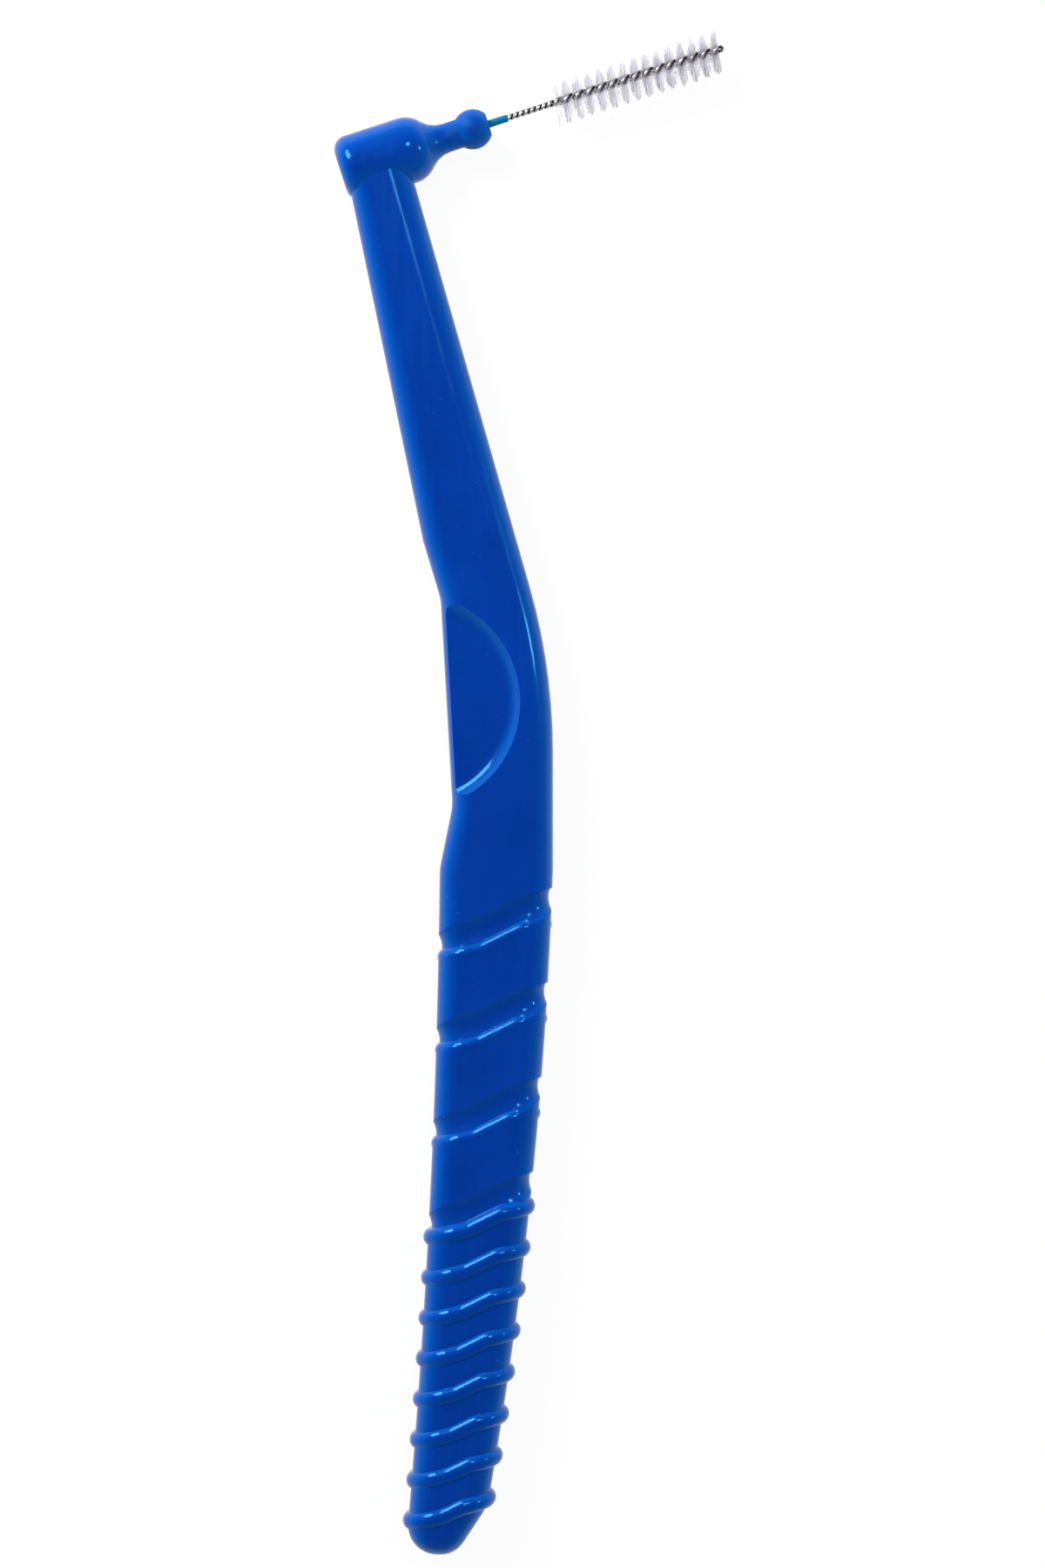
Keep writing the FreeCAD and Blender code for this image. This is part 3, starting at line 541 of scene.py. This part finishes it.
def strand_path(tree, size):
    """One strand out to the tip, round the fold and back: its place along X and its way off that axis."""
    length = total(tree, size["Root"], size["Free"], size["Core"])
    half_fold = product(tree, size["Tip Offset"], math.pi / 2)
    reach = total(tree, length, half_fold)
    index = tree.nodes.new("GeometryNodeInputIndex").outputs[0]
    last = calculate(tree, "SUBTRACT", size["Count"], 1)
    run = spread(tree, index, 0, last, product(tree, reach, -1), reach)
    fold_start = product(tree, half_fold, -1)
    fold = spread(tree, run, fold_start, half_fold, -math.pi / 2, math.pi / 2)
    before_fold = calculate(tree, "SUBTRACT", calculate(tree, "ABSOLUTE", run), half_fold)
    to_tip = calculate(tree, "MAXIMUM", before_fold, 0)
    past_stem = calculate(tree, "SUBTRACT", size["Core"], to_tip)
    along = total(tree, size["Free"], past_stem)

    half_ease = product(tree, size["Ease"], 1 / 2)
    ease_start = product(tree, half_ease, -1)
    opened = spread(tree, past_stem, ease_start, half_ease, 0, 1)
    turn = twist_turn(tree, size, past_stem, opened)
    open_offset = spread(
        tree, past_stem, ease_start, half_ease, size["Stem Offset"], size["Core Offset"], "SMOOTHSTEP")
    closing = calculate(tree, "SUBTRACT", size["Tip Offset"], size["Core Offset"])
    offset = total(tree, open_offset, spread(tree, to_tip, size["Ease"], 0, 0, closing, "SMOOTHSTEP"))
    sideways = product(tree, offset, calculate(tree, "SINE", fold), -1)
    off_axis = vector_of(
        tree,
        product(tree, offset, calculate(tree, "COSINE", fold)),
        product(tree, sideways, calculate(tree, "SINE", turn)),
        product(tree, sideways, calculate(tree, "COSINE", turn)),
    )
    return along, off_axis


def wire_tree():
    """The twisted wire, with a UV map along its strand and a value that says how far out a spot faces."""
    tree, start, end = size_tree("twisted_wire", ["Count"], [
        "Root", "Free", "Core", "Stem Pitch", "Core Pitch",
        "Stem Offset", "Core Offset", "Tip Offset", "Ease", "Strand",
    ])
    size = start.outputs
    along, off_axis = strand_path(tree, size)
    line = place(tree, "GeometryNodeCurvePrimitiveLine").outputs[0]
    points = place(tree, "GeometryNodeResampleCurve", {"Curve": line, "Count": size["Count"]}).outputs[0]
    spot = calculate_vector(tree, "ADD", off_axis, vector_of(tree, along, 0, 0))
    points, outwards = keep_value(tree, points, "VECTOR", off_axis)
    path = place(tree, "GeometryNodeSetPosition", {0: points, "Position": spot}).outputs[0]
    path_length = tree.nodes.new("GeometryNodeSplineParameter").outputs["Length"]
    path, path_length = keep_value(tree, path, "FLOAT", path_length)
    circle = place(tree, "GeometryNodeCurvePrimitiveCircle", {
        "Resolution": STRAND_SIDES, "Radius": product(tree, size["Strand"], 1 / 2),
    }).outputs[0]
    girth = tree.nodes.new("GeometryNodeSplineParameter").outputs["Length"]
    circle, girth = keep_value(tree, circle, "FLOAT", girth)
    tube = place(tree, "GeometryNodeCurveToMesh", {
        "Curve": path, "Profile Curve": circle, "Fill Caps": True,
    }).outputs[0]
    mapped = place(tree, "GeometryNodeStoreNamedAttribute", {
        "Geometry": tube, "Name": "strand", "Value": vector_of(tree, path_length, girth, 0),
    }, data_type="FLOAT2", domain="CORNER").outputs[0]
    normal = tree.nodes.new("GeometryNodeInputNormal").outputs[0]
    facing = calculate_vector(tree, "DOT_PRODUCT", normal, calculate_vector(tree, "NORMALIZE", outwards))
    marked = place(tree, "GeometryNodeStoreNamedAttribute", {
        "Geometry": mapped, "Name": "outwards", "Value": facing,
    }, data_type="FLOAT", domain="POINT").outputs[0]
    end_tree(tree, start, end, marked)
    return tree


def make_wire(settings, material):
    mesh = grown_mesh("twisted_wire", wire_tree(), {
        "Count": STRAND_POINTS,
        "Root": settings.root,
        "Free": free_length,
        "Core": settings.core,
        "Stem Pitch": settings.stem_pitch,
        "Core Pitch": settings.core_pitch,
        "Stem Offset": settings.stem_offset,
        "Core Offset": settings.core_offset,
        "Tip Offset": settings.tip_offset,
        "Ease": settings.ease,
        "Strand": settings.strand,
        "Place": wire_start,
        "Turn": wire_turn,
        "Material": material,
    })
    return new_piece("twisted_wire", mesh, material)


# Sleeve

def sleeve_profile(settings):
    """Places along the wire, radii and relief: out along the outside, round the mouth and back inside."""
    outer, inner = settings.bore + settings.wall, settings.bore
    profile = []
    for ring in range(SLEEVE_RINGS + 1):
        x = -settings.root + (settings.reach + settings.root) * ring / SLEEVE_RINGS
        share = max(x, 0) / settings.reach
        profile.append((x, outer - settings.taper * share, settings.relief * smooth_step(share)))
    lip = (settings.wall - settings.taper) / 2
    for step in range(1, LIP_STEPS):
        angle = math.pi * step / LIP_STEPS
        profile.append((settings.reach + lip * math.sin(angle), inner + lip * (1 + math.cos(angle)), 0))
    return profile + [(settings.reach, inner, 0), (-settings.root, inner, 0)]


def make_sleeve(settings, wire, material):
    """A thin tube with a rounded mouth, on which the twist below shows a little."""
    profile = sleeve_profile(settings)
    vertices = []
    for x, radius, relief in profile:
        for side in range(SLEEVE_SIDES):
            angle = FULL_TURN * side / SLEEVE_SIDES
            twisted = 2 * (angle + FULL_TURN * x / wire.stem_pitch)
            reach = radius + relief * math.cos(twisted)
            vertices.append(wire_frame @ Vector((x, reach * math.cos(angle), reach * math.sin(angle))))
    faces = tube_faces(len(profile), SLEEVE_SIDES)
    last = (len(profile) - 1) * SLEEVE_SIDES
    for side in range(SLEEVE_SIDES):
        after = (side + 1) % SLEEVE_SIDES
        faces.append((last + side, last + after, after, side))
    mesh = bpy.data.meshes.new("teal_sleeve")
    mesh.from_pydata(vertices, [], faces)
    mesh.shade_smooth()
    return new_piece("teal_sleeve", mesh, material)


# Filaments

def random_number(tree, low, high, seed, series):
    ends = {2: low, 3: high, 8: total(tree, seed, series)}
    return place(tree, "FunctionNodeRandomValue", ends, data_type="FLOAT").outputs[1]


def filament_spots(tree, size):
    """Places and turns of the filaments, which follow the twist and stand denser towards the tip."""
    index = tree.nodes.new("GeometryNodeInputIndex").outputs[0]
    share = calculate(tree, "DIVIDE", total(tree, index, 1 / 2), size["Count"])
    wave = calculate(tree, "SINE", product(tree, share, math.pi))
    bunched = product(tree, wave, size["Bunch"], 1 / math.pi)
    along = product(tree, total(tree, share, bunched), size["Length"])
    turns = calculate(tree, "DIVIDE", along, size["Pitch"])
    stray = product(tree, random_number(tree, -1, 1, size["Seed"], FAN_SERIES), size["Fan"])
    turn = total(tree, product(tree, turns, FULL_TURN), stray)
    cosine, sine = calculate(tree, "COSINE", turn), calculate(tree, "SINE", turn)
    bed = product(tree, random_number(tree, -1, 1, size["Seed"], BED_SERIES), size["Bed"])
    lowered = product(tree, size["Low Shift"], cosine)
    across = total(tree, product(tree, lowered, cosine), product(tree, bed, sine))
    upwards = calculate(tree, "SUBTRACT", product(tree, lowered, sine), product(tree, bed, cosine))
    return vector_of(tree, along, product(tree, across, -1), upwards), turn


def filament_bend(tree, size):
    """How far each spot of a filament leans along the wire and strays, more so towards its tip."""
    position = tree.nodes.new("GeometryNodeInputPosition").outputs[0]
    parts = place(tree, "ShaderNodeSeparateXYZ", {0: position}).outputs
    radius = calculate_vector(tree, "LENGTH", vector_of(tree, 0, parts["Y"], parts["Z"]))
    out = calculate(tree, "DIVIDE", radius, size["Reach"])
    strength = product(tree, out, out, size["Wander"])
    clumps = noise(tree, position, size["Clump"], detail=1).outputs["Color"]
    centred = calculate_vector(tree, "SUBTRACT", clumps, (1 / 2, 1 / 2, 1 / 2))
    strayed = calculate_vector(tree, "MULTIPLY", centred, vector_of(tree, strength, strength, strength))
    leaning = product(tree, parts["Y"], calculate(tree, "TANGENT", size["Lean"]))
    return calculate_vector(tree, "ADD", strayed, vector_of(tree, leaning, 0, 0))


def bristle_tree():
    """Filaments along the X axis that turn with the twist."""
    tree, start, end = size_tree("bristles", ["Count", "Seed"], [
        "Length", "Pitch", "Thickness", "Reach", "Short", "Long", "Low Shift",
        "Bed", "Lean", "Fan", "Wander", "Clump", "Bunch",
    ])
    size = start.outputs
    spot, turn = filament_spots(tree, size)
    points = place(tree, "GeometryNodePoints", {"Count": size["Count"]}).outputs[0]
    spots = place(tree, "GeometryNodeSetPosition", {"Geometry": points, "Position": spot}).outputs[0]
    filament = place(tree, "GeometryNodeMeshCylinder", {
        "Vertices": FILAMENT_SIDES,
        "Side Segments": FILAMENT_STEPS,
        "Radius": product(tree, size["Thickness"], 1 / 2),
        "Depth": product(tree, size["Reach"], 2),
    }).outputs["Mesh"]
    tilt = calculate(tree, "SUBTRACT", math.pi / 2, turn)
    turned = place(tree, "FunctionNodeEulerToRotation", {0: vector_of(tree, tilt, 0, 0)}).outputs[0]
    trim = random_number(tree, size["Short"], size["Long"], size["Seed"], TRIM_SERIES)
    copies = place(tree, "GeometryNodeInstanceOnPoints", {
        "Points": spots, "Instance": filament, "Rotation": turned, "Scale": vector_of(tree, 1, 1, trim),
    }).outputs[0]
    straight = place(tree, "GeometryNodeRealizeInstances", {0: copies}).outputs[0]
    bent = place(tree, "GeometryNodeSetPosition", {
        "Geometry": straight, "Offset": filament_bend(tree, size),
    }).outputs[0]
    end_tree(tree, start, end, bent)
    return tree


def make_bristles(settings, wire, material):
    mesh = grown_mesh("nylon_bristles", bristle_tree(), {
        "Count": settings.count,
        "Seed": settings.seed,
        "Length": wire.core - settings.bare_tip,
        "Pitch": wire.core_pitch,
        "Thickness": settings.thickness,
        "Reach": settings.reach,
        "Short": settings.short_share,
        "Long": settings.long_share,
        "Low Shift": settings.low_shift,
        "Bed": settings.bed,
        "Lean": settings.lean,
        "Fan": settings.fan,
        "Wander": settings.wander,
        "Clump": settings.clump,
        "Bunch": settings.bunch_share,
        "Place": brush_start,
        "Turn": wire_turn,
        "Material": material,
    })
    return new_piece("nylon_bristles", mesh, material)


# Stage

def floor_finish(settings):
    """White to the eye and in reflections, with a soft shadow around what lies on it."""
    material, tree, shader = new_material("white_table")
    set_inputs(shader, {"Base Color": opaque(settings.floor), "Roughness": 0.9, "Specular IOR Level": 0})
    rays = tree.nodes.new("ShaderNodeLightPath").outputs
    seen = calculate(tree, "MAXIMUM", rays["Is Camera Ray"], rays["Is Glossy Ray"])
    seen = calculate(tree, "MAXIMUM", seen, rays["Is Transmission Ray"])
    glow = place(tree, "ShaderNodeEmission", {"Color": (1, 1, 1, 1), "Strength": 1}).outputs[0]
    share = product(tree, seen, settings.glow_share)
    mix = place(tree, "ShaderNodeMixShader", {0: share, 1: shader.outputs[0], 2: glow}).outputs[0]
    tree.links.new(mix, tree.nodes["Material Output"].inputs["Surface"])
    return material


def make_floor(settings):
    half = settings.floor_size / 2
    mesh = bpy.data.meshes.new("table")
    corners = [(-half, -half, 0), (half, -half, 0), (half, half, 0), (-half, half, 0)]
    mesh.from_pydata(corners, [], [(0, 1, 2, 3)])
    new_piece("table", mesh, floor_finish(settings))


def make_room(settings):
    """Even light from all around."""
    world = bpy.data.worlds.new("room")
    bpy.context.scene.world = world
    world.use_nodes = True
    set_inputs(world.node_tree.nodes["Background"], {"Color": (1, 1, 1, 1), "Strength": settings.room})


def make_lamp(name, distance, leftwards, tilt, width, height, power):
    """A flat lamp that faces the brush, turned leftwards from the head's end and tilted from overhead."""
    light = bpy.data.lights.new(name, "AREA")
    light.shape = "RECTANGLE"
    light.size = width
    light.size_y = height
    light.energy = power
    lamp = bpy.data.objects.new(name, light)
    bpy.context.scene.collection.objects.link(lamp)
    turn, lean = math.radians(leftwards), math.radians(tilt)
    towards = Vector((-math.sin(turn) * math.sin(lean), math.cos(turn) * math.sin(lean), math.cos(lean)))
    lamp.location = towards * distance
    lamp.rotation_euler = towards.to_track_quat("Z", "Y").to_euler()


def make_lamps(settings):
    away = settings.lamp_distance
    make_lamp("window", away, leftwards=40, tilt=52, width=0.17, height=0.25, power=2.7)
    make_lamp("right_lamp", away, leftwards=-75, tilt=54, width=0.03, height=0.03, power=0.3)
    make_lamp("head_lamp", away, leftwards=-15, tilt=22, width=0.07, height=0.07, power=0.5)


def make_camera(settings):
    camera = bpy.data.cameras.new("photo_view")
    camera.sensor_fit = "VERTICAL"
    camera.sensor_height = settings.sensor
    camera.lens = settings.lens
    camera.clip_start = MM
    eye = bpy.data.objects.new("photo_view", camera)
    bpy.context.scene.collection.objects.link(eye)
    distance = settings.view_height * settings.lens / settings.sensor
    eye.location = (settings.view_x, settings.view_y, wire_start.z + distance)
    bpy.context.scene.camera = eye


# Operators

class BRUSH_OT_handle(bpy.types.Operator):
    """Gives the moulded handle its glossy blue skin and satin collar"""
    bl_idname = "brush.handle"
    bl_label = "Finish handle"

    def execute(self, context):
        settings = context.scene.brush.handle
        handle = frame["nodes"]["handle"]
        handle.data.materials.clear()
        handle.data.materials.append(plastic_finish("blue_plastic", settings, with_collar=True))
        return {"FINISHED"}


class BRUSH_OT_wire(bpy.types.Operator):
    """Makes the twisted wire in one piece, from its root in the head to the fold at its tip"""
    bl_idname = "brush.wire"
    bl_label = "Make wire"

    def execute(self, context):
        settings = context.scene.brush.wire
        wire = make_wire(settings, drawn_wire_finish(settings))
        bend_with_wire(wire)
        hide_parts("wire_stem", "wire_core")
        return {"FINISHED"}


class BRUSH_OT_sleeve(bpy.types.Operator):
    """Makes the thin teal sleeve at the root of the wire"""
    bl_idname = "brush.sleeve"
    bl_label = "Make sleeve"

    def execute(self, context):
        settings = context.scene.brush.sleeve
        sleeve = make_sleeve(settings, context.scene.brush.wire, plastic_finish("teal_plastic", settings))
        bend_with_wire(sleeve)
        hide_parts("wire_sleeve")
        return {"FINISHED"}


class BRUSH_OT_bristles(bpy.types.Operator):
    """Makes the nylon filaments that pass between the strands of the wire"""
    bl_idname = "brush.bristles"
    bl_label = "Make bristles"

    def execute(self, context):
        settings = context.scene.brush.bristles
        bristles = make_bristles(settings, context.scene.brush.wire, nylon_finish(settings))
        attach(bristles, "brush")
        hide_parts(*BRISTLE_ROWS)
        return {"FINISHED"}


class BRUSH_OT_stage(bpy.types.Operator):
    """Makes the white table, the light and the camera"""
    bl_idname = "brush.stage"
    bl_label = "Set stage"

    def execute(self, context):
        settings = context.scene.brush.stage
        context.scene.view_settings.view_transform = "Standard"
        make_floor(settings)
        make_room(settings)
        make_lamps(settings)
        make_camera(settings)
        return {"FINISHED"}


class BRUSH_PT_sidebar(bpy.types.Panel):
    bl_label = "Interdental brush"
    bl_space_type = "VIEW_3D"
    bl_region_type = "UI"
    bl_category = "Brush"

    def draw(self, context):
        for operator in OPERATORS:
            group_name = operator.bl_idname.split(".")[1]
            box = self.layout.box()
            box.operator(operator.bl_idname)
            settings = getattr(context.scene.brush, group_name)
            for name in settings.bl_rna.properties.keys():
                if name not in ("rna_type", "name"):
                    box.prop(settings, name)


OPERATORS = (BRUSH_OT_handle, BRUSH_OT_wire, BRUSH_OT_sleeve, BRUSH_OT_bristles, BRUSH_OT_stage)
GROUPS = (HandleSettings, WireSettings, SleeveSettings, BristleSettings, StageSettings, BrushSettings)
CLASSES = (*GROUPS, *OPERATORS, BRUSH_PT_sidebar)


def register():
    for item in CLASSES:
        bpy.utils.register_class(item)
    bpy.types.Scene.brush = PointerProperty(type=BrushSettings)


def unregister():
    del bpy.types.Scene.brush
    for item in reversed(CLASSES):
        bpy.utils.unregister_class(item)


def main():
    register()
    bpy.ops.brush.stage()
    bpy.ops.brush.handle()
    bpy.ops.brush.wire()
    bpy.ops.brush.sleeve()
    bpy.ops.brush.bristles()


if __name__ == "__main__":
    main()
